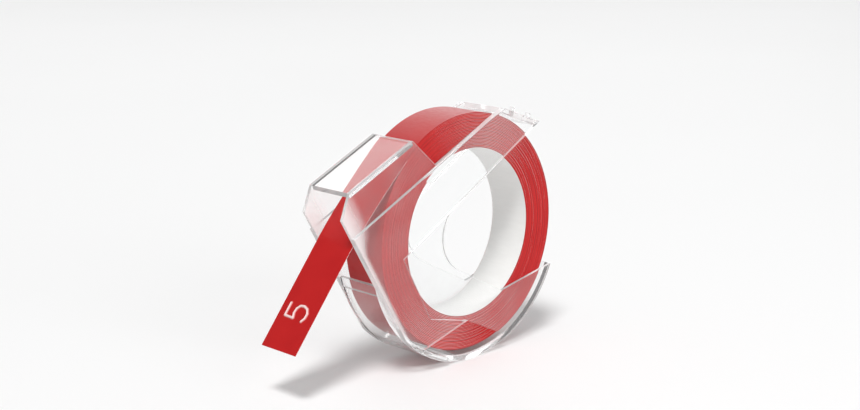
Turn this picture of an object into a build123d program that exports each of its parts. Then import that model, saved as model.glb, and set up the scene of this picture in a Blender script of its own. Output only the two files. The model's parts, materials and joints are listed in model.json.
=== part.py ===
"""Refill for an embossing label maker: a coil of tape in a clear two-part magazine.

The origin is on the coil's axis, at the middle of the tape's width. +X points away from the
nose, +Y to the back side plate and +Z up. The magazine stands on its round bottom shell.
"""
import os
from math import atan2, cos, degrees, radians, sin, sqrt

from build123d import *

# Tape: one layer of film on one layer of release paper
tape_width = 9.0
film_thickness = 0.20
liner_thickness = 0.08
coil_radius = 22.4
coil_bore_radius = 15.8

# Free end of the tape, from the coil to its square-cut end
leave_angle = 135.0  # where the tape leaves the coil, seen from the front
tail_angle = 232.0  # direction of the free tail
straight_run = 6.0
bend_radius = 65.0
run_to_mouth = 4.5
tail_length = 21.4
coil_gap = 0.22
hinge_gap = 0.16

# Magazine: two side plates, held apart by the shell, the nose roof and the bridge
inner_gap = 9.4
side_thickness = 0.6
band_height = 0.7
wall = 1.0
seam = 0.05
shell_radius = 24.2
shell_start = 194.0
shell_end = 336.0
shell_lip_angle = 5.5
shell_lip_wall = 0.6
edge_round = 0.2

# Side plate: a nose, an arm that rises to the bridge, and a notch for the spindle
band_angle = 30.0
notch_radius = 7.2
notch_low_angle = 28.0
mouth_offset = 23.4  # from the axis to the straight edge beside the mouth
inner_edge_offset = 16.1  # from the axis to the inner edge of the band's leg
nose_top = (-14.8, 19.1)
nose_tip = (-29.7, 11.9)
nose_chin = (-31.4, 7.3)
nose_heel = (-9.1, 14.0)
arm_shoulder = (5.2, 21.2)
bridge_start = (8.2, 22.4)
bridge_end = (17.7, 18.9)
sill_inner = (8.4, -12.6)
leg_foot = (-10.9, -14.2)
rim_meet_angle = 238.0
rim_end_angle = 253.0
bead_round_angle = 1.2  # how far the bead's rounded end reaches past its last angle
window_corner = (-1.3, -16.4)  # top of the opening low on each plate, which leaves the coil's side bare
window_end_angle = 293.0

# Snap at the bridge
tab_width = 3.8
tab_depth = 1.8
tab_clearance = 0.1
prong_size = 0.8

os.makedirs("parts", exist_ok=True)

half_gap = inner_gap / 2
half_tape = tape_width / 2
plate_face = half_gap + side_thickness
band_face = plate_face + band_height
shell_bore = shell_radius - wall


def polar(radius, angle):
    """Point at a radius and an angle from the coil's axis."""
    return (radius * cos(radians(angle)), radius * sin(radians(angle)))


def on_band_axes(along, across):
    """Point given along and across the arm's own direction."""
    a = radians(band_angle)
    return (along * cos(a) - across * sin(a), along * sin(a) + across * cos(a))


# The straight edge beside the mouth runs square to the arm and cuts the shell's outer circle.
mouth_half_chord = sqrt(shell_radius**2 - mouth_offset**2)
mouth_low = on_band_axes(-mouth_offset, -mouth_half_chord)
notch_top = polar(notch_radius, 90 + band_angle)
notch_bottom = polar(notch_radius, 270 - notch_low_angle)
mouth_low_angle = 180 + degrees(atan2(-mouth_low[1], -mouth_low[0]))


def draw_side_plate():
    """Outline that both side plates share."""
    with BuildLine() as outline:
        Polyline(mouth_low, nose_chin, nose_tip, nose_top, nose_heel, arm_shoulder, bridge_start)
        Polyline(bridge_start, bridge_end, notch_top)
        ThreePointArc(notch_top, (-notch_radius, 0), notch_bottom)
        Polyline(notch_bottom, sill_inner, polar(shell_radius, shell_end))
        rim_mid = (mouth_low_angle + shell_end) / 2
        ThreePointArc(polar(shell_radius, shell_end), polar(shell_radius, rim_mid), mouth_low)
    make_face(outline.edges())
    with BuildLine() as window:
        Polyline(polar(shell_bore, rim_meet_angle), window_corner, polar(shell_bore, window_end_angle))
        window_mid = (rim_meet_angle + window_end_angle) / 2
        ThreePointArc(
            polar(shell_bore, window_end_angle),
            polar(shell_bore, window_mid),
            polar(shell_bore, rim_meet_angle),
        )
    make_face(window.edges(), mode=Mode.SUBTRACT)


def draw_band():
    """Outline of the raised band: the arm, the leg beside the mouth and a bead on the rim."""
    arm_slope = (arm_shoulder[1] - nose_heel[1]) / (arm_shoulder[0] - nose_heel[0])
    mouth_slope = (nose_chin[1] - mouth_low[1]) / (nose_chin[0] - mouth_low[0])
    rise = nose_heel[1] - arm_slope * nose_heel[0] - mouth_low[1] + mouth_slope * mouth_low[0]
    root_x = rise / (mouth_slope - arm_slope)
    arm_root = (root_x, nose_heel[1] + arm_slope * (root_x - nose_heel[0]))
    inner_corner = on_band_axes(-inner_edge_offset, notch_radius)
    bead_mid = (shell_radius + shell_bore) / 2
    rim_mid = (rim_meet_angle + rim_end_angle) / 2
    with BuildLine() as outline:
        Polyline(mouth_low, arm_root, arm_shoulder, bridge_start, bridge_end, inner_corner)
        Polyline(inner_corner, leg_foot, window_corner, polar(shell_bore, rim_meet_angle))
        ThreePointArc(
            polar(shell_bore, rim_meet_angle),
            polar(shell_bore, rim_mid),
            polar(shell_bore, rim_end_angle),
        )
        ThreePointArc(
            polar(shell_bore, rim_end_angle),
            polar(bead_mid, rim_end_angle + bead_round_angle),
            polar(shell_radius, rim_end_angle),
        )
        ThreePointArc(
            polar(shell_radius, rim_end_angle),
            polar(shell_radius, (mouth_low_angle + rim_end_angle) / 2),
            mouth_low,
        )
    make_face(outline.edges())


def draw_shell():
    """Section of the round bottom shell, thinner along its lip beside the mouth."""
    step = shell_start + shell_lip_angle
    lip_bore = shell_radius - shell_lip_wall
    middle = (step + shell_end) / 2
    with BuildLine() as outline:
        ThreePointArc(
            polar(shell_radius, shell_start),
            polar(shell_radius, middle),
            polar(shell_radius, shell_end),
        )
        Line(polar(shell_radius, shell_end), polar(shell_bore, shell_end))
        ThreePointArc(polar(shell_bore, shell_end), polar(shell_bore, middle), polar(shell_bore, step))
        Line(polar(shell_bore, step), polar(lip_bore, step))
        ThreePointArc(
            polar(lip_bore, step),
            polar(lip_bore, shell_start + shell_lip_angle / 2),
            polar(lip_bore, shell_start),
        )
        Line(polar(lip_bore, shell_start), polar(shell_radius, shell_start))
    make_face(outline.edges())


def draw_wall(start, end):
    """Section of a flat wall whose outer face runs from start to end, clockwise about the coil."""
    run = Vector(*end) - Vector(*start)
    inward = run.normalized().rotate(Axis.Z, -90) * wall
    with BuildLine() as outline:
        Polyline(start, end, Vector(*end) + inward, Vector(*start) + inward, close=True)
    make_face(outline.edges())


def tape_path(offset):
    """Centre line of a layer in the nose, at an offset from the coil's axis."""
    with BuildLine(mode=Mode.PRIVATE) as path:
        leave = polar(offset, leave_angle)
        tangent = leave_angle + 90
        first = PolarLine(leave, straight_run, tangent)
        bend = JernArc(
            first @ 1, first % 1, bend_radius + offset - coil_radius, tail_angle - tangent
        )
        PolarLine(bend @ 1, run_to_mouth, tail_angle)
    return path.line


# Plane on the bridge's outer face, where the front cover snaps in
bridge_run = Vector(*bridge_end) - Vector(*bridge_start)
bridge_middle = (Vector(*bridge_start) + Vector(*bridge_end)) * 0.5
bridge_plane = Plane(
    origin=(bridge_middle.X, -half_gap, bridge_middle.Y),
    x_dir=(bridge_run.X, 0, bridge_run.Y),
    z_dir=(-bridge_run.Y, 0, bridge_run.X),
)

# Back tray: side plate with its band, bottom shell, nose roof and bridge
with BuildPart() as back_tray:
    with BuildSketch(Plane.XZ.offset(-plate_face)):
        draw_side_plate()
    extrude(amount=side_thickness)
    with BuildSketch(Plane.XZ.offset(-band_face)):
        draw_band()
    extrude(amount=band_height)
    with BuildSketch(Plane.XZ.offset(-half_gap)):
        draw_shell()
        draw_wall(nose_tip, nose_top)
        draw_wall(bridge_start, bridge_end)
    extrude(amount=inner_gap - seam)
    with BuildSketch(bridge_plane):
        Rectangle(tab_width + 2 * tab_clearance, 2 * (tab_depth + tab_clearance))
    extrude(amount=-2 * wall, both=True, mode=Mode.SUBTRACT)
    outer_edges = back_tray.faces().sort_by(Axis.Y)[-1].edges()
    fillet(outer_edges, edge_round)
back_tray.part.label = "back_tray"
export_step(back_tray.part, "parts/back_tray.step")

# Front cover: side plate with its band, the snap tab in the bridge and a prong on each side
with BuildPart() as front_cover:
    with BuildSketch(Plane.XZ.offset(half_gap)):
        draw_side_plate()
    extrude(amount=side_thickness)
    with BuildSketch(Plane.XZ.offset(plate_face)):
        draw_band()
    extrude(amount=band_height)
    outer_edges = front_cover.faces().sort_by(Axis.Y)[0].edges()
    fillet(outer_edges, edge_round)
    with BuildSketch(bridge_plane):
        with Locations((0, (tab_depth - side_thickness) / 2)):
            Rectangle(tab_width, tab_depth + side_thickness)
    extrude(amount=-wall)
    for side in (-1, 1):
        prong_x = side * (tab_width + prong_size) / 2
        with BuildSketch(bridge_plane.offset(-wall)):
            with Locations((prong_x, -side_thickness / 2)):
                Rectangle(prong_size, side_thickness)
        extrude(amount=wall + prong_size)
front_cover.part.label = "front_cover"
export_step(front_cover.part, "parts/front_cover.step")

# Coil: wound film, and the innermost turn of release paper that lines its bore
film_bore = coil_bore_radius + liner_thickness
with BuildPart() as coil_film:
    with BuildSketch(Plane.XZ.offset(-half_tape)):
        Circle(coil_radius)
        Circle(film_bore, mode=Mode.SUBTRACT)
    extrude(amount=tape_width)
coil_film.part.label = "coil_film"
export_step(coil_film.part, "parts/coil_film.step")

with BuildPart() as coil_liner:
    with BuildSketch(Plane.XZ.offset(-half_tape)):
        Circle(film_bore)
        Circle(coil_bore_radius, mode=Mode.SUBTRACT)
    extrude(amount=tape_width)
coil_liner.part.label = "coil_liner"
export_step(coil_liner.part, "parts/coil_liner.step")

# Tape in the nose: the paper lies on the coil's side, the film on the outside
liner_offset = coil_radius + coil_gap + liner_thickness / 2
film_offset = coil_radius + coil_gap + liner_thickness + film_thickness / 2
with BuildPart() as run_liner:
    with BuildSketch(Plane.XZ.offset(-half_tape)):
        trace(tape_path(liner_offset), line_width=liner_thickness)
    extrude(amount=tape_width)
run_liner.part.label = "run_liner"
export_step(run_liner.part, "parts/run_liner.step")

with BuildPart() as run_film:
    with BuildSketch(Plane.XZ.offset(-half_tape)):
        trace(tape_path(film_offset), line_width=film_thickness)
    extrude(amount=tape_width)
run_film.part.label = "run_film"
export_step(run_film.part, "parts/run_film.step")


def draw_tail(offset, thickness):
    """Section of one layer of the straight tail."""
    mouth = tape_path(offset) @ 1
    direction = polar(1, tail_angle)
    start = (mouth.X + hinge_gap * direction[0], mouth.Y + hinge_gap * direction[1])
    with BuildLine() as centre:
        PolarLine(start, tail_length, tail_angle)
    trace(centre.line, line_width=thickness)


# Free tail: square-cut end beyond the mouth
with BuildPart() as tail_liner:
    with BuildSketch(Plane.XZ.offset(-half_tape)):
        draw_tail(liner_offset, liner_thickness)
    extrude(amount=tape_width)
tail_liner.part.label = "tail_liner"
export_step(tail_liner.part, "parts/tail_liner.step")

with BuildPart() as tail_film:
    with BuildSketch(Plane.XZ.offset(-half_tape)):
        draw_tail(film_offset, film_thickness)
    extrude(amount=tape_width)
tail_film.part.label = "tail_film"
export_step(tail_film.part, "parts/tail_film.step")

mouth_point = tape_path(coil_radius + coil_gap + liner_thickness) @ 1
print("hinge at the mouth", round(mouth_point.X, 3), round(mouth_point.Y, 3))
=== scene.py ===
import json
import math

import bpy
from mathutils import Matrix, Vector


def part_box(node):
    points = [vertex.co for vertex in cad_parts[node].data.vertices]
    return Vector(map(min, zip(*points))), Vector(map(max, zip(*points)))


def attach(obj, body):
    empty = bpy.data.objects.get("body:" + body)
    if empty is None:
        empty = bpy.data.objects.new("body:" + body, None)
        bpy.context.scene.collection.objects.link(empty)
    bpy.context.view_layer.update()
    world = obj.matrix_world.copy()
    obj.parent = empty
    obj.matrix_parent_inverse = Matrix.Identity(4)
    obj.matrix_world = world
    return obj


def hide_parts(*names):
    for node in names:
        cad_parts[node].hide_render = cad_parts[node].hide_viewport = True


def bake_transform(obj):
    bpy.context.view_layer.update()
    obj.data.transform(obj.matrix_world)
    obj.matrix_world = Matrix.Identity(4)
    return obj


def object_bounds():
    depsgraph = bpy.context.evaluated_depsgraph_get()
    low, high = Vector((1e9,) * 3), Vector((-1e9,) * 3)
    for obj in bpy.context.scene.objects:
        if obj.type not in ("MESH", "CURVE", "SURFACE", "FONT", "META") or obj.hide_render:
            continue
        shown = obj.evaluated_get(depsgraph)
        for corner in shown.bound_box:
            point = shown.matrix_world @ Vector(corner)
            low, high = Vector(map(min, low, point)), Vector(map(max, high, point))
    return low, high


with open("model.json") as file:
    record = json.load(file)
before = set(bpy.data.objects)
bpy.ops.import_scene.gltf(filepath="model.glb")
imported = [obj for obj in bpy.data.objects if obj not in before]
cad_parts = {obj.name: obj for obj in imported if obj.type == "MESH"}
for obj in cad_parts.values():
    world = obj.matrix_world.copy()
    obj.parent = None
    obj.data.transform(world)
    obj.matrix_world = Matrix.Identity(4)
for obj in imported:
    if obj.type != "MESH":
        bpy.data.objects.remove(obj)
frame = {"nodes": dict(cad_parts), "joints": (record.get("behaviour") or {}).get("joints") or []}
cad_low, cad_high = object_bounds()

MM = 0.001

# ---------------------------------------------------------------- the tape's sizes, from the frame
joints = {j["name"]: j for j in frame["joints"]}
coil_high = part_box("coil_film")[1]
paper_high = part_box("coil_liner")[1]
COIL_RADIUS = coil_high.x
HALF_WIDTH = coil_high.y
PAPER = 0.07 * MM  # drawn thinner than the CAD's layers, so that the two don't touch
FILM = 0.19 * MM
BORE_RADIUS = paper_high.x - PAPER
TURN = FILM + PAPER
TURNS = (COIL_RADIUS - BORE_RADIUS) / TURN
LEAVE_ANGLE = 135  # degrees, where the tape leaves the coil
END_SLACK = 0.35 * MM  # keeps the tail's square end inside the CAD's box
MOUTH = Vector(joints["tail_flex"]["pos_m"])
TAIL_WAY = Vector(joints["tape_pull"]["axis"]).normalized()
TAIL_LENGTH = (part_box("tail_film")[0].x - MOUTH.x) / TAIL_WAY.x - END_SLACK
LEAVING_START = 15  # degrees, from where the outer turn slides round to its leaving point

# ---------------------------------------------------------------- the magazine's sizes, its haze and its painted light
PLATE_INNER = 4.7 * MM
MOUTH_OFFSET = 23.4 * MM  # from the axis to the straight edge beside the mouth
BAND_ANGLE = math.radians(30)
BAND_ACROSS = (math.cos(BAND_ANGLE), 0, math.sin(BAND_ANGLE))
BAND_UP = (-math.sin(BAND_ANGLE), 0, math.cos(BAND_ANGLE))
ACROSS_TAPE = (0, 1, 0)
MASK_START = PLATE_INNER - 0.2 * MM
MASK_END = PLATE_INNER - 0.05 * MM
HAZE = 0.03  # share of white over all the clear plastic
MOUTH_PAINTED_REFLECTION = 0.5  # the most painted reflection there is beside the mouth, white standing in for the bright surroundings
EDGE_PAINTED_HIGHLIGHT = 0.42  # painted highlight on the cut edges, white standing in for light refracted through them
PAINTED_REFLECTION_HEIGHTS = (13 * MM, 19 * MM)  # up the straight edge, where the painted reflection widens
PAINTED_REFLECTION_WIDTHS = (1.3 * MM, 5.2 * MM)  # how far in from the edge it reaches, below and above
PLATE_EDGE_LEAN = (0.35, 0.8)  # a plate's face leans from cut edge to flat between these
WALL_EDGE_FACING = (0.68, 0.73)  # and a wall's, by how much it faces the axis

# ---------------------------------------------------------------- colours
CLEAR_TINT = (0.985, 0.99, 0.99)
# White of the plastic's haze, also used for the painted edge highlight and the painted reflection
# beside the mouth
PASSING_TINT = (0.95, 0.955, 0.955)
HAZE_AND_HIGHLIGHT_WHITE = (0.95, 0.95, 0.95)
# One red film in two shades: the wound copy is painted lighter than the run copy, for the dimmer
# light on the coil's faces
RUN_REDS = ((0.43, 0.006, 0.007), (0.48, 0.009, 0.009))
WOUND_REDS_PAINTED_LIGHTER = ((0.56, 0.009, 0.010), (0.62, 0.012, 0.012))
# Painted shade, laid on alternate wound turns so that neighbouring turns differ
PAINTED_SHADE_RED = (0.30, 0.004, 0.005)
STRETCHED_RED = (0.93, 0.82, 0.80)
PAPER_WHITES = ((0.80, 0.795, 0.78), (0.83, 0.825, 0.81))
FLOOR_WHITES = ((0.89, 0.89, 0.89), (0.91, 0.91, 0.91))


# ---------------------------------------------------------------- materials
def new_material(name):
    material = bpy.data.materials.new(name)
    material.use_nodes = True
    nodes = material.node_tree.nodes
    return material, nodes, material.node_tree.links, nodes["Principled BSDF"]


def noise(nodes, links, scale, detail=3.0, stretch=(1, 1, 1)):
    """A noise in object coordinates, scale per metre."""
    place = nodes.new("ShaderNodeTexCoord")
    mapping = nodes.new("ShaderNodeMapping")
    mapping.inputs["Scale"].default_value = stretch
    texture = nodes.new("ShaderNodeTexNoise")
    texture.inputs["Scale"].default_value = scale
    texture.inputs["Detail"].default_value = detail
    links.new(place.outputs["Object"], mapping.inputs["Vector"])
    links.new(mapping.outputs["Vector"], texture.inputs["Vector"])
    return texture.outputs["Fac"]


def spread(nodes, links, value, low, high):
    """value from 0.3 to 0.7 becomes low to high."""
    span = nodes.new("ShaderNodeMapRange")
    span.inputs["From Min"].default_value = 0.3
    span.inputs["From Max"].default_value = 0.7
    span.inputs["To Min"].default_value = low
    span.inputs["To Max"].default_value = high
    links.new(value, span.inputs["Value"])
    return span.outputs["Result"]


def mix_colour(nodes, links, factor, first, second):
    """Each of first and second is a colour or a socket."""
    mix = nodes.new("ShaderNodeMix")
    mix.data_type = "RGBA"
    links.new(factor, mix.inputs["Factor"])
    for end, colour in (("A", first), ("B", second)):
        socket = [s for s in mix.inputs if s.name == end and s.type == "RGBA"][0]
        if isinstance(colour, tuple):
            socket.default_value = (*colour, 1)
        else:
            links.new(colour, socket)
    return [s for s in mix.outputs if s.type == "RGBA"][0]


def bump(nodes, links, shader, height, distance, strength=1.0):
    node = nodes.new("ShaderNodeBump")
    node.inputs["Distance"].default_value = distance
    node.inputs["Strength"].default_value = strength
    links.new(height, node.inputs["Height"])
    links.new(node.outputs["Normal"], shader.inputs["Normal"])


def calculate(nodes, links, operation, first, second=None):
    """Math node. Each of first and second is a number or a socket."""
    node = nodes.new("ShaderNodeMath")
    node.operation = operation
    for socket, value in zip(node.inputs, (first, second)):
        if isinstance(value, (int, float)):
            socket.default_value = value
        elif value is not None:
            links.new(value, socket)
    return node.outputs[0]


def ramp(nodes, links, value, start, end, low=0.0, high=1.0):
    """value from start to end becomes low to high along a smooth step."""
    span = nodes.new("ShaderNodeMapRange")
    span.interpolation_type = "SMOOTHSTEP"
    for name, number in (("From Min", start), ("From Max", end), ("To Min", low), ("To Max", high)):
        span.inputs[name].default_value = number
    links.new(value, span.inputs["Value"])
    return span.outputs["Result"]


def dot(nodes, links, vector, other):
    """Dot product of a vector socket with three numbers or another socket."""
    node = nodes.new("ShaderNodeVectorMath")
    node.operation = "DOT_PRODUCT"
    links.new(vector, node.inputs[0])
    if isinstance(other, tuple):
        node.inputs[1].default_value = other
    else:
        links.new(other, node.inputs[1])
    return node.outputs["Value"]


def size_of_dot(nodes, links, vector, other):
    return calculate(nodes, links, "ABSOLUTE", dot(nodes, links, vector, other))


def plate_share(nodes, links, place):
    """1 in the side plates and 0 in the walls between them."""
    depth = size_of_dot(nodes, links, place.outputs["Object"], ACROSS_TAPE)
    return ramp(nodes, links, depth, MASK_START, MASK_END)


def edge_share(nodes, links, place, in_plate):
    """1 on the cut edges of the plates and walls, 0 on their broad faces."""
    flatness = size_of_dot(nodes, links, place.outputs["Normal"], ACROSS_TAPE)
    flat_scale = nodes.new("ShaderNodeVectorMath")
    flat_scale.operation = "MULTIPLY"
    flat_scale.inputs[1].default_value = (1, 0, 1)
    links.new(place.outputs["Object"], flat_scale.inputs[0])
    radial = nodes.new("ShaderNodeVectorMath")
    radial.operation = "NORMALIZE"
    links.new(flat_scale.outputs[0], radial.inputs[0])
    facing = size_of_dot(nodes, links, place.outputs["Normal"], radial.outputs[0])
    steep = ramp(nodes, links, flatness, *PLATE_EDGE_LEAN, 1, 0)
    plate_edge = calculate(nodes, links, "MULTIPLY", steep, in_plate)
    in_wall = calculate(nodes, links, "SUBTRACT", 1.0, in_plate)
    cut = ramp(nodes, links, facing, *WALL_EDGE_FACING, 1, 0)
    wall_edge = calculate(nodes, links, "MULTIPLY", cut, in_wall)
    return calculate(nodes, links, "ADD", plate_edge, wall_edge)


def painted_mouth_reflection(nodes, links, place, in_plate):
    """Painted reflection: white that fades away from the straight edge beside the mouth, widest at
    the nose.
    """
    along = dot(nodes, links, place.outputs["Object"], BAND_ACROSS)
    height = dot(nodes, links, place.outputs["Object"], BAND_UP)
    width = ramp(nodes, links, height, *PAINTED_REFLECTION_HEIGHTS, *PAINTED_REFLECTION_WIDTHS)
    depth = calculate(nodes, links, "ADD", along, MOUTH_OFFSET)
    share = calculate(nodes, links, "DIVIDE", depth, width)
    fading = ramp(nodes, links, share, 0, 1, MOUTH_PAINTED_REFLECTION, 0)
    return calculate(nodes, links, "MULTIPLY", fading, in_plate)


def clear_plastic():
    """Clear moulded plastic: slightly wavy, hazed in the middle, with a painted highlight along its
    cut edges and a painted reflection beside the mouth.
    """
    material, nodes, links, shader = new_material("clear_plastic")
    place = nodes.new("ShaderNodeTexCoord")
    shader.inputs["Base Color"].default_value = (*CLEAR_TINT, 1)
    shader.inputs["Transmission Weight"].default_value = 1.0
    shader.inputs["IOR"].default_value = 1.40
    shader.inputs["Roughness"].default_value = 0.03
    bump(nodes, links, shader, noise(nodes, links, 70, 2), 0.12 * MM, 0.4)
    rays = nodes.new("ShaderNodeLightPath")
    lets_through = nodes.new("ShaderNodeBsdfTransparent")
    lets_through.inputs["Color"].default_value = (*PASSING_TINT, 1)
    clear = shader.outputs["BSDF"]
    for ray in ("Is Shadow Ray", "Is Diffuse Ray"):
        mix = nodes.new("ShaderNodeMixShader")
        links.new(rays.outputs[ray], mix.inputs["Fac"])
        links.new(clear, mix.inputs[1])
        links.new(lets_through.outputs["BSDF"], mix.inputs[2])
        clear = mix.outputs["Shader"]
    # White layer: the plastic's haze, plus the painted edge highlight and the painted reflection
    # beside the mouth
    haze_and_highlight = nodes.new("ShaderNodeBsdfPrincipled")
    haze_and_highlight.inputs["Base Color"].default_value = (*HAZE_AND_HIGHLIGHT_WHITE, 1)
    haze_and_highlight.inputs["Roughness"].default_value = 0.35
    cloud = spread(nodes, links, noise(nodes, links, 240, 4), HAZE * 0.5, HAZE * 1.5)
    in_plate = plate_share(nodes, links, place)
    edge = edge_share(nodes, links, place, in_plate)
    # Painted highlight on the cut edges
    painted_edge_highlight = calculate(nodes, links, "MULTIPLY", edge, EDGE_PAINTED_HIGHLIGHT)
    # Painted reflection beside the mouth
    mouth_reflection_share = painted_mouth_reflection(nodes, links, place, in_plate)
    # Painted light: the larger of the reflection beside the mouth and the edge highlight
    painted_light_share = calculate(nodes, links, "MAXIMUM", mouth_reflection_share, painted_edge_highlight)
    haze_and_painted_light = calculate(nodes, links, "MAXIMUM", painted_light_share, cloud)
    over = nodes.new("ShaderNodeMixShader")
    links.new(haze_and_painted_light, over.inputs["Fac"])
    links.new(clear, over.inputs[1])
    links.new(haze_and_highlight.outputs["BSDF"], over.inputs[2])
    links.new(over.outputs["Shader"], nodes["Material Output"].inputs["Surface"])
    return material


def red_film(name, whitened=False, wound=False):
    """Red embossing film: painted lighter when wound, with painted shade on alternate wound turns,
    and white where it is stretched.
    """
    material, nodes, links, shader = new_material(name)
    cloud = noise(nodes, links, 160, 4)
    # The wound copy is painted lighter, for the dimmer light on the coil's faces
    reds = WOUND_REDS_PAINTED_LIGHTER if wound else RUN_REDS
    colour = mix_colour(nodes, links, spread(nodes, links, cloud, 0, 1), *reds)
    if wound:
        # Painted shade on alternate wound turns
        shade = nodes.new("ShaderNodeAttribute")
        shade.attribute_name = "shade"
        colour = mix_colour(nodes, links, shade.outputs["Fac"], colour, PAINTED_SHADE_RED)
    if whitened:
        stress = nodes.new("ShaderNodeAttribute")
        stress.attribute_name = "stress"
        colour = mix_colour(nodes, links, stress.outputs["Fac"], colour, STRETCHED_RED)
    links.new(colour, shader.inputs["Base Color"])
    grain = noise(nodes, links, 2600, 4, (1, 0.3, 1))
    links.new(spread(nodes, links, grain, 0.30, 0.42), shader.inputs["Roughness"])
    bump(nodes, links, shader, grain, 0.01 * MM, 0.4)
    shader.inputs["IOR"].default_value = 1.53
    shader.inputs["Specular IOR Level"].default_value = 0.32 if wound else 0.2
    return material


def release_paper():
    """Coated release paper: off-white, with a faint fibre."""
    material, nodes, links, shader = new_material("release_paper")
    fibre = noise(nodes, links, 1500, 6, (1, 0.2, 1))
    colour = mix_colour(nodes, links, spread(nodes, links, fibre, 0, 1), *PAPER_WHITES)
    links.new(colour, shader.inputs["Base Color"])
    links.new(spread(nodes, links, fibre, 0.42, 0.58), shader.inputs["Roughness"])
    bump(nodes, links, shader, fibre, 0.008 * MM, 0.4)
    return material


def pale_floor():
    """Matt pale card, very slightly uneven."""
    material, nodes, links, shader = new_material("pale_floor")
    cloud = noise(nodes, links, 6, 2)
    colour = mix_colour(nodes, links, cloud, *FLOOR_WHITES)
    links.new(colour, shader.inputs["Base Color"])
    shader.inputs["Roughness"].default_value = 0.6
    shader.inputs["Specular IOR Level"].default_value = 0.1
    return material


# ---------------------------------------------------------------- mesh helpers
def make_piece(name, points, faces, material, smooth=True):
    mesh = bpy.data.meshes.new(name)
    mesh.from_pydata([tuple(p) for p in points], [], faces)
    mesh.materials.append(material)
    mesh.polygons.foreach_set("use_smooth", [smooth] * len(mesh.polygons))
    mesh.validate()
    mesh.update()
    piece = bpy.data.objects.new(name, mesh)
    bpy.context.collection.objects.link(piece)
    return piece


def ribbon(name, path, under, over, half_widths, material):
    """A flat strip along path, a list of (point, outward normal), from under to over its line."""
    points = []
    faces = []
    for (place, out), half in zip(path, half_widths):
        for height, side in ((under, -1), (under, 1), (over, 1), (over, -1)):
            points.append(place + out * height + Vector((0, side * half, 0)))
    for i in range(len(path) - 1):
        for k in range(4):
            a = 4 * i + k
            b = 4 * i + (k + 1) % 4
            faces.append((a, a + 4, b + 4, b))
    last = 4 * (len(path) - 1)
    faces.append((0, 1, 2, 3))
    faces.append((last + 3, last + 2, last + 1, last))
    piece = make_piece(name, points, faces, material)
    sharpen(piece)
    return piece


def sharpen(piece, angle=40):
    """Keeps the strip's square edges sharp while its long faces shade smoothly."""
    bpy.context.view_layer.objects.active = piece
    piece.select_set(True)
    bpy.ops.object.shade_smooth_by_angle(angle=math.radians(angle))
    piece.select_set(False)


def polar(radius, angle):
    """Point and outward normal at an angle round the coil, in degrees."""
    out = Vector((math.cos(math.radians(angle)), 0, math.sin(math.radians(angle))))
    return out * radius, out


# ---------------------------------------------------------------- the coil and the tape
STEP = 2.0  # degrees between sections of a turn
EDGE_INSET = 0.03 * MM
WANDER = 0.016 * MM  # how far a turn sits in or out of its neighbours
FILM_FILL = 0.94  # share of the film's thickness drawn, so that the turns stay apart
PAPER_RECESS = 0.10 * MM  # how far the paper's edges sit in behind the film's
# How much painted shade sets neighbouring turns apart, and its middle value
SHADE_SWING = 0.27
SHADE_MIDDLE = 0.26


def turn_path(start, end, radius_at):
    count = round((end - start) / STEP)
    angles = [start + (end - start) * i / count for i in range(count + 1)]
    return [polar(radius_at(angle), angle) for angle in angles]


def wound_radius(angle):
    """Radius of the line between paper and film, which grows by a turn's thickness each turn."""
    return COIL_RADIUS - FILM - TURN * (LEAVE_ANGLE - angle) / 360


def turn_widths(path, start, recess):
    """Half widths along a wound path: each turn sits a hair in or out of its neighbours.

    The two waves' rates have no common factor, so that no two turns match.
    """
    widths = []
    for i in range(len(path)):
        turn = (start + i * STEP) / 360
        shift = WANDER * (math.sin(turn * 9.7) + 0.6 * math.sin(turn * 23.1 + 1.0))
        widths.append(HALF_WIDTH - EDGE_INSET - recess + shift)
    return widths


def turn_shades(path, start):
    """How much painted shade each section of a wound path gets, so that neighbouring turns can be
    told apart.
    """
    shades = []
    for i in range(len(path)):
        turn = (start + i * STEP) / 360
        slow = math.cos(2 * math.pi * turn / 3 + 0.5)
        shade = SHADE_SWING * math.cos(math.pi * turn) + SHADE_SWING * slow
        shades.append(min(1, max(0, SHADE_MIDDLE + shade)))
    return shades


def wound_piece(name, start, end, under, over, recess, material):
    path = turn_path(start, end, wound_radius)
    piece = ribbon(name, path, under, over, turn_widths(path, start, recess), material)
    # Painted shade for each section, read by the wound film's colour
    values = piece.data.attributes.new("shade", "FLOAT", "POINT")
    values.data.foreach_set("value", [s for s in turn_shades(path, start) for _ in range(4)])
    return piece


film = red_film("red_film_run")
wound_film = red_film("red_film_wound", wound=True)
paper = release_paper()

coil_start = LEAVE_ANGLE - 360 * math.floor(TURNS)
drawn = FILM * FILM_FILL
coil_turns = wound_piece("coil_turns", coil_start, LEAVING_START, 0, drawn, 0, wound_film)
coil_papers = wound_piece("coil_papers", coil_start, LEAVING_START, -PAPER, 0, PAPER_RECESS, paper)
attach(coil_turns, "coil")
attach(coil_papers, "coil")
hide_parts("coil_film")
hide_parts("coil_liner")

leaving_film = wound_piece("leaving_film", LEAVING_START, LEAVE_ANGLE, 0, drawn, 0, wound_film)
leaving_paper = wound_piece(
    "leaving_paper", LEAVING_START, LEAVE_ANGLE, -PAPER, 0, PAPER_RECESS, paper
)
for piece in (leaving_film, leaving_paper):
    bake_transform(piece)


RUN_SECTIONS = 24
LINER_INSET = 0.02 * MM  # how far the straight paper's edges sit in


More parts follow.
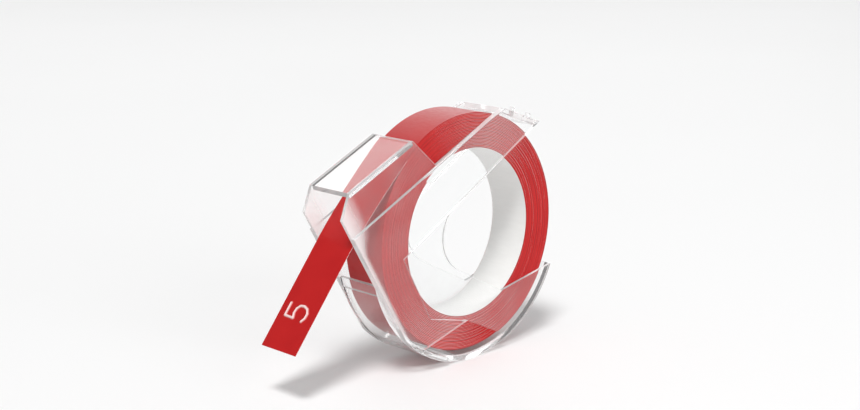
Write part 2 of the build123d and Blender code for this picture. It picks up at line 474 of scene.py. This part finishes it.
def run_path():
    """Off the coil at a tangent and on to the mouth in one gentle bend."""
    path = []
    start, out = polar(wound_radius(LEAVE_ANGLE), LEAVE_ANGLE)
    way = Vector((out.z, 0, -out.x)) * -1
    reach = (MOUTH - start).length / 3
    handles = (start, start + way * reach, MOUTH - TAIL_WAY * reach, MOUTH)
    for i in range(RUN_SECTIONS + 1):
        t = i / RUN_SECTIONS
        a, b, c, d = handles
        place = a * (1 - t) ** 3 + b * 3 * t * (1 - t) ** 2 + c * 3 * t * t * (1 - t) + d * t**3
        slope = (b - a) * (1 - t) ** 2 + (c - b) * 2 * t * (1 - t) + (d - c) * t * t
        slope.normalize()
        path.append((place, Vector((slope.z, 0, -slope.x))))
    return path


run = run_path()
run_tape = ribbon("run_tape", run, 0, FILM, [HALF_WIDTH] * len(run), film)
run_paper = ribbon("run_paper", run, -PAPER, 0, [HALF_WIDTH - LINER_INSET] * len(run), paper)
for piece, node, slot in (
    (run_tape, "run_film", "red_film"),
    (run_paper, "run_liner", "release_paper"),
):
    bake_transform(piece)
    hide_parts(node)


# ---------------------------------------------------------------- the tail and its embossed figure
TAIL_OUT = Vector((TAIL_WAY.z, 0, -TAIL_WAY.x))
CELL = 0.11 * MM  # size of the tail's mesh squares
RELIEF = 0.30 * MM  # how high the figure stands
UNDER_RELIEF = 0.7  # of that, on the film's lower face
STROKE = 0.15 * MM
OUTER_WHITE = 0.82  # how far the stretched film turns white, above and below
UNDER_WHITE = 0.5
FIGURE_PLACE = 14.1 * MM  # from the mouth, along the tail
LINER_GAP = 0.004 * MM  # keeps the paper's face off the film's
TAIL_SECTIONS = 40
FIGURE_LINE = (
    (1.3, 2.6), (-1.1, 2.6), (-1.2, 0.4), (-0.3, 0.75), (0.6, 0.6), (1.25, 0.0),
    (1.35, -0.9), (1.0, -1.9), (0.2, -2.45), (-0.7, -2.4), (-1.4, -1.9),
)


def smooth_step(low, high, value):
    t = min(1, max(0, (value - low) / (high - low)))
    return t * t * (3 - 2 * t)


def from_stroke(u, v):
    """Distance from a point of the figure's plane to its nearest stroke."""
    best = 1.0
    for (x0, y0), (x1, y1) in zip(FIGURE_LINE, FIGURE_LINE[1:]):
        x0, y0, x1, y1 = x0 * MM, y0 * MM, x1 * MM, y1 * MM
        along = ((u - x0) * (x1 - x0) + (v - y0) * (y1 - y0)) / ((x1 - x0) ** 2 + (y1 - y0) ** 2)
        along = min(1, max(0, along))
        best = min(best, math.hypot(u - x0 - along * (x1 - x0), v - y0 - along * (y1 - y0)))
    return best


def embossed_tail(material):
    """The tail's film as one closed mesh whose figure is pushed up from behind."""
    rows = round(TAIL_LENGTH / CELL)
    columns = round(2 * HALF_WIDTH / CELL)
    points = []
    stress = []
    for layer in (0, 1):
        for i in range(rows + 1):
            along = TAIL_LENGTH * i / rows
            for j in range(columns + 1):
                across = HALF_WIDTH * (2 * j / columns - 1)
                gap = from_stroke(FIGURE_PLACE - along, across)
                raised = 1 - smooth_step(STROKE * 0.4, STROKE * 2.2, gap)
                height = (FILM if layer else 0) + raised * RELIEF * (1 if layer else UNDER_RELIEF)
                points.append(MOUTH + TAIL_WAY * along + TAIL_OUT * height + Vector((0, across, 0)))
                white = 1 - smooth_step(STROKE * 0.8, STROKE * 1.9, gap)
                stress.append(white * (OUTER_WHITE if layer else UNDER_WHITE))
    wide = columns + 1
    layer_size = wide * (rows + 1)
    faces = []
    for i in range(rows):
        for j in range(columns):
            a = i * wide + j
            faces.append((a, a + 1, a + wide + 1, a + wide))
            b = a + layer_size
            faces.append((b, b + wide, b + wide + 1, b + 1))
    rim = list(range(columns))
    rim += [i * wide + columns for i in range(rows)]
    rim += [rows * wide + j for j in range(columns, 0, -1)]
    rim += [i * wide for i in range(rows, 0, -1)]
    for a, b in zip(rim, rim[1:] + rim[:1]):
        faces.append((b, a, a + layer_size, b + layer_size))
    piece = make_piece("tail_tape", points, faces, material)
    values = piece.data.attributes.new("stress", "FLOAT", "POINT")
    values.data.foreach_set("value", stress)
    sharpen(piece, 60)
    return piece


tail_tape = embossed_tail(red_film("red_film_embossed", whitened=True))
tail_path = [
    (MOUTH + TAIL_WAY * TAIL_LENGTH * i / TAIL_SECTIONS, TAIL_OUT) for i in range(TAIL_SECTIONS + 1)
]
tail_widths = [HALF_WIDTH - LINER_INSET] * len(tail_path)
tail_paper = ribbon("tail_paper", tail_path, -PAPER, -LINER_GAP, tail_widths, paper)
for piece, node, slot in (
    (tail_tape, "tail_film", "red_film"),
    (tail_paper, "tail_liner", "release_paper"),
):
    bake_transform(piece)
    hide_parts(node)

# ---------------------------------------------------------------- the clear magazine
clear = clear_plastic()
for node in ("back_tray", "front_cover"):
    for slot in frame["nodes"][node].material_slots:
        slot.material = clear

# ---------------------------------------------------------------- floor, light and camera
FLOOR_SIZE = 12.0
half_floor = FLOOR_SIZE / 2
corner_ways = ((-1, -1), (1, -1), (1, 1), (-1, 1))
floor = make_piece(
    "floor",
    [(x * half_floor, y * half_floor, cad_low.z) for x, y in corner_ways],
    [(0, 1, 2, 3)],
    pale_floor(),
    smooth=False,
)


def aim(lamp, place):
    lamp.visible_camera = False
    lamp.location = place
    lamp.rotation_mode = "QUATERNION"
    lamp.rotation_quaternion = (-Vector(place)).to_track_quat("-Z", "Y")
    bpy.context.collection.objects.link(lamp)


def soft_light(name, place, size, power, sheen_only=False):
    light = bpy.data.lights.new(name, "AREA")
    light.shape = "SQUARE"
    light.size = size
    light.energy = power
    lamp = bpy.data.objects.new(name, light)
    lamp.visible_diffuse = not sheen_only
    aim(lamp, place)


def soft_sun(name, place, spread_angle, power):
    light = bpy.data.lights.new(name, "SUN")
    light.angle = math.radians(spread_angle)
    light.energy = power
    aim(bpy.data.objects.new(name, light), place)


soft_sun("key_light", (-0.24, -0.17, 0.50), spread_angle=14, power=2.0)
soft_light("fill_light", (-0.05, -0.65, 0.20), size=0.5, power=2.0)
soft_light("back_light", (0.40, 0.50, 0.42), size=0.8, power=2.6, sheen_only=True)

SURROUND_STRENGTH = 0.40
BACKDROP_STRENGTH = 0.98  # seen by the camera and through the clear plastic
world = bpy.data.worlds.new("studio")
world.use_nodes = True
world_nodes, world_links = world.node_tree.nodes, world.node_tree.links
surround = world_nodes["Background"]
surround.inputs["Color"].default_value = (1, 1, 1, 1)
surround.inputs["Strength"].default_value = SURROUND_STRENGTH
backdrop = world_nodes.new("ShaderNodeBackground")
backdrop.inputs["Strength"].default_value = BACKDROP_STRENGTH
backdrop.inputs["Color"].default_value = (1, 1, 1, 1)
seen = world_nodes.new("ShaderNodeLightPath")
seen_or_refracted = calculate(
    world_nodes, world_links, "MAXIMUM",
    seen.outputs["Is Camera Ray"], seen.outputs["Is Transmission Ray"],
)
choice = world_nodes.new("ShaderNodeMixShader")
world_links.new(seen_or_refracted, choice.inputs["Fac"])
world_links.new(surround.outputs["Background"], choice.inputs[1])
world_links.new(backdrop.outputs["Background"], choice.inputs[2])
world_links.new(choice.outputs["Shader"], world_nodes["World Output"].inputs["Surface"])
bpy.context.scene.world = world
bpy.context.scene.view_settings.view_transform = "Standard"

CAMERA_AZIMUTH = 44.116  # degrees to the left of the front
CAMERA_PITCH = 12.663  # degrees down
CAMERA_PLACE = Vector((-0.20401, -0.20473, 0.06939))
CAMERA_LENS = 66.58
camera_data = bpy.data.cameras.new("camera")
camera_data.sensor_width = 36
camera_data.lens = CAMERA_LENS
camera_data.clip_start = 0.01
camera = bpy.data.objects.new("camera", camera_data)
camera.location = CAMERA_PLACE
camera.rotation_euler = (math.radians(90 - CAMERA_PITCH), 0, math.radians(-CAMERA_AZIMUTH))
bpy.context.collection.objects.link(camera)
bpy.context.scene.camera = camera
